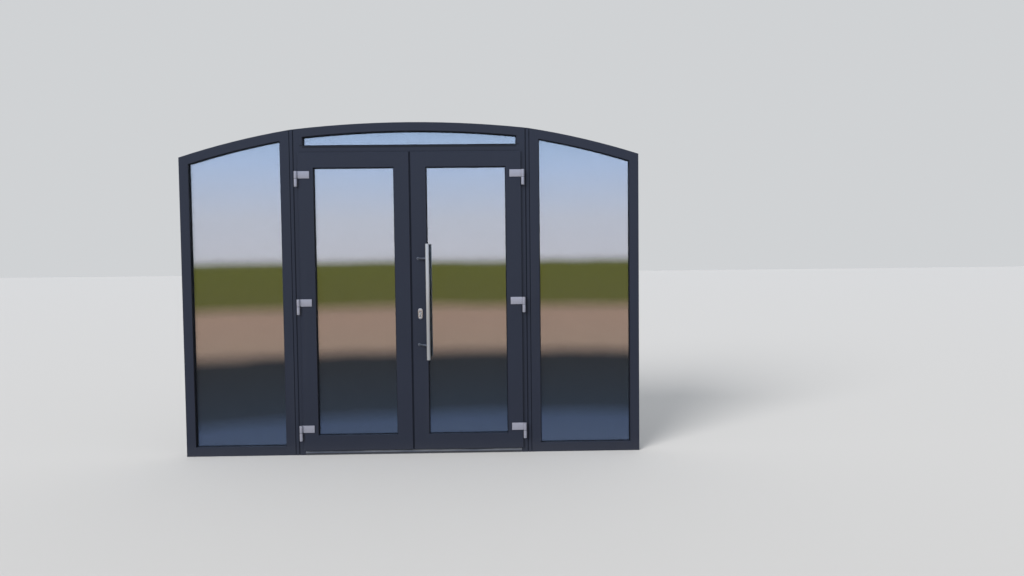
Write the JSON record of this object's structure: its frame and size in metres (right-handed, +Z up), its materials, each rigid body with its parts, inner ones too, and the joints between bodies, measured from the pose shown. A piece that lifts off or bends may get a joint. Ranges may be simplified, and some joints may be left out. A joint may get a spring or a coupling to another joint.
{
  "type": "arched double entrance door with sidelights",
  "caption": "Arched glazed shop entrance: two outward-opening leaves with a pull bar under a fanlight, between two fixed sidelights in anthracite profiles.",
  "frame": {"origin": "under the middle of the doorway, on the underside of the frames, half-way through their depth", "axes": "+X to the right seen from outside, +Y into the building, +Z up"},
  "size_m": [3.18, 0.206, 2.315],
  "materials": {
    "frame_foil": "anthracite foil with a fine grain on PVC",
    "leaf_foil": "anthracite foil with a fine grain on PVC",
    "glass": "clear double glazing",
    "spacer_metal": "mill finish",
    "black_rubber": "matt black",
    "galvanised_steel": "galvanised",
    "threshold_aluminium": "natural anodised, worn",
    "base_plastic": "dark, matt",
    "hinge_metal": "satin silver",
    "hinge_bush": "black bearing plastic",
    "bolt_steel": "bright steel",
    "stainless": "satin stainless",
    "cylinder_nickel": "satin nickel"
  },
  "bodies": {
    "frame": {"left_sidelight_frame": "frame_foil", "right_sidelight_frame": "frame_foil", "door_frame": "frame_foil", "transom": "frame_foil", "left_coupling_profile": "frame_foil", "right_coupling_profile": "frame_foil", "left_sidelight_bead": "frame_foil", "right_sidelight_bead": "frame_foil", "fanlight_bead": "frame_foil", "left_sidelight_panes": "glass", "right_sidelight_panes": "glass", "fanlight_panes": "glass", "left_sidelight_spacer": "spacer_metal", "right_sidelight_spacer": "spacer_metal", "fanlight_spacer": "spacer_metal", "left_sidelight_gasket": "black_rubber", "right_sidelight_gasket": "black_rubber", "fanlight_gasket": "black_rubber", "door_frame_seal": "black_rubber", "door_frame_reinforcement": "galvanised_steel", "threshold": "threshold_aluminium", "threshold_base": "base_plastic", "left_hinge_knuckles": "hinge_metal", "right_hinge_knuckles": "hinge_metal", "hinge_pins": "bolt_steel", "shoot_bolt_keepers": "stainless"},
    "passive_leaf": {"passive_sash": "leaf_foil", "passive_sash_reinforcement": "galvanised_steel", "passive_leaf_panes": "glass", "passive_leaf_spacer": "spacer_metal", "passive_leaf_gasket": "black_rubber", "passive_leaf_bead": "leaf_foil", "passive_hinge_leaves": "hinge_metal", "passive_hinge_bushes": "hinge_bush", "passive_meeting_profile": "leaf_foil", "passive_bottom_profile": "leaf_foil", "strike_plate": "stainless"},
    "active_leaf": {"active_sash": "leaf_foil", "active_sash_reinforcement": "galvanised_steel", "active_leaf_panes": "glass", "active_leaf_spacer": "spacer_metal", "active_leaf_gasket": "black_rubber", "active_leaf_bead": "leaf_foil", "active_hinge_leaves": "hinge_metal", "active_hinge_bushes": "hinge_bush", "active_edge_profile": "leaf_foil", "active_bottom_profile": "leaf_foil", "pull_bar": "stainless", "pull_bar_brackets": "stainless", "outer_escutcheon": "stainless", "lock_cylinder": "cylinder_nickel", "lock_case": "galvanised_steel", "lock_faceplate": "stainless", "inner_backplate": "stainless"},
    "lever": {"inner_lever": "stainless"},
    "latch": {"latch_bolt": "bolt_steel"},
    "bolt": {"dead_bolt": "bolt_steel"},
    "plug": {"cylinder_plug": "cylinder_nickel"},
    "upper_shoot": {"upper_shoot_bolt": "bolt_steel"},
    "lower_shoot": {"lower_shoot_bolt": "bolt_steel"}
  },
  "joints": [
    {"name": "passive_leaf_hinge", "type": "hinge", "parent": "frame", "child": "passive_leaf", "pos_m": [-0.782, -0.064, 1.072], "axis": [0, 0, -1], "range_deg": [0, 170]},
    {"name": "active_leaf_hinge", "type": "hinge", "parent": "frame", "child": "active_leaf", "pos_m": [0.782, -0.064, 1.072], "axis": [0, 0, 1], "range_deg": [0, 170]},
    {"name": "lever_turn", "type": "hinge", "parent": "active_leaf", "child": "lever", "pos_m": [0.06, 0.017, 1.08], "axis": [0, 1, 0], "range_deg": [0, 45], "stiffness_Nm_per_rad": 0.8, "springref_deg": -40.11},
    {"name": "latch_slide", "type": "slide", "parent": "active_leaf", "child": "latch", "axis": [-1, 0, 0], "range_m": [0, 0.012]},
    {"name": "plug_turn", "type": "hinge", "parent": "active_leaf", "child": "plug", "pos_m": [0.06, -0.018, 0.988], "axis": [0, -1, 0], "range_deg": [0, 360]},
    {"name": "dead_bolt_slide", "type": "slide", "parent": "active_leaf", "child": "bolt", "axis": [-1, 0, 0], "range_m": [0, 0.02]},
    {"name": "upper_shoot_slide", "type": "slide", "parent": "passive_leaf", "child": "upper_shoot", "axis": [0, 0, 1], "range_m": [0, 0.016]},
    {"name": "lower_shoot_slide", "type": "slide", "parent": "passive_leaf", "child": "lower_shoot", "axis": [0, 0, -1], "range_m": [0, 0.016]}
  ],
  "couplings": [
    {"joint": "plug_turn", "follows": "dead_bolt_slide", "rad_per_m": 314.16}
  ]
}
